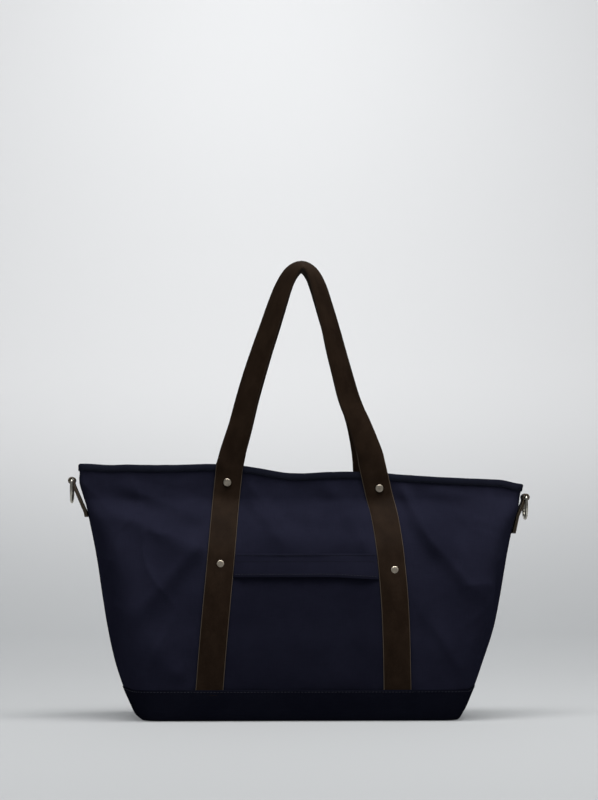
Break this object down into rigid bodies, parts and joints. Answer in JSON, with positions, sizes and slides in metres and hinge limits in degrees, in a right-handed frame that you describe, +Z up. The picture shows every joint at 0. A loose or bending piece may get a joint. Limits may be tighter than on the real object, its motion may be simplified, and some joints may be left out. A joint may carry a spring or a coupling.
{
  "type": "weekender bag",
  "caption": "Flared canvas weekender tote with riveted leather strap handles, top zip, flapped front pocket, reinforced base and a ring tab on each end",
  "frame": {"origin": "centre of the flat base, on the floor", "axes": "+Z up, the front with the pocket faces -Y, +X is the right-hand end seen from the front"},
  "size_m": [0.5921, 0.1752, 0.5906],
  "materials": {
    "canvas": "tightly woven navy canvas, soft sheen",
    "base_canvas": "coated black-navy canvas",
    "board": "stiff base board",
    "lining": "plain cotton lining",
    "binding": "folded canvas binding with a stitch line",
    "leather": "dark brown smooth leather with raw edges",
    "rivet": "dull pewter",
    "hardware": "satin nickel",
    "tape": "woven zip tape",
    "teeth": "satin nickel teeth"
  },
  "bodies": {
    "bag": {"front_panel": "canvas", "back_panel": "canvas", "base_panel": "base_canvas", "base_board": "board", "lining": "lining", "inner_pocket": "lining", "rim_binding": "binding", "front_pocket": "canvas", "flap_seam": "canvas", "front_strap_left": "leather", "front_strap_right": "leather", "back_strap_left": "leather", "back_strap_right": "leather", "front_rivets": "rivet", "front_rivet_washers": "rivet", "back_rivets": "rivet", "back_rivet_washers": "rivet", "d_ring_tab_left": "leather", "d_ring_tab_right": "leather", "zip_end_tape_left": "tape", "zip_end_tape_right": "tape", "zip_end_teeth_left": "teeth", "zip_end_teeth_right": "teeth", "zip_stops": "hardware"},
    "front_handle": {"front_handle": "leather"},
    "back_handle": {"back_handle": "leather"},
    "pocket_flap": {"pocket_flap": "canvas"},
    "zip_front": {"zip_tape_front": "tape", "zip_teeth_front": "teeth"},
    "zip_back": {"zip_tape_back": "tape", "zip_teeth_back": "teeth"},
    "zip_slider": {"zip_slider": "hardware"},
    "zip_pull": {"zip_pull": "hardware"},
    "d_ring_left": {"d_ring_left": "hardware"},
    "d_ring_right": {"d_ring_right": "hardware"}
  },
  "joints": [
    {"name": "front_handle_fold", "type": "hinge", "parent": "bag", "child": "front_handle", "pos_m": [0, -0.0215, 0.32015], "axis": [1, 0, 0], "range_deg": [0, 140]},
    {"name": "back_handle_fold", "type": "hinge", "parent": "bag", "child": "back_handle", "pos_m": [0, 0.0215, 0.32015], "axis": [-1, 0, 0], "range_deg": [0, 140]},
    {"name": "pocket_flap_lift", "type": "hinge", "parent": "bag", "child": "pocket_flap", "pos_m": [0, -0.0671, 0.20515], "axis": [-1, 0, 0], "range_deg": [0, 110]},
    {"name": "zip_front_part", "type": "hinge", "parent": "bag", "child": "zip_front", "pos_m": [-0.00036, -0.0131, 0.30251], "axis": [0.9992, 0, -0.0401], "range_deg": [0, 80]},
    {"name": "zip_back_part", "type": "hinge", "parent": "bag", "child": "zip_back", "pos_m": [-0.00036, 0.0131, 0.30251], "axis": [-0.9992, 0, 0.0401], "range_deg": [0, 80]},
    {"name": "zip_slide", "type": "slide", "parent": "bag", "child": "zip_slider", "axis": [-0.9992, 0, 0.0401], "range_m": [0, 0.5]},
    {"name": "zip_pull_swing", "type": "hinge", "parent": "zip_slider", "child": "zip_pull", "pos_m": [0.2556, 0, 0.29633], "axis": [0, 1, 0], "range_deg": [0, 120]},
    {"name": "d_ring_left_swing", "type": "hinge", "parent": "bag", "child": "d_ring_left", "pos_m": [-0.29349, 0, 0.30125], "axis": [0, 1, 0], "range_deg": [-12, 160]},
    {"name": "d_ring_right_swing", "type": "hinge", "parent": "bag", "child": "d_ring_right", "pos_m": [0.28917, 0, 0.28025], "axis": [0, -1, 0], "range_deg": [-12, 160]}
  ]
}
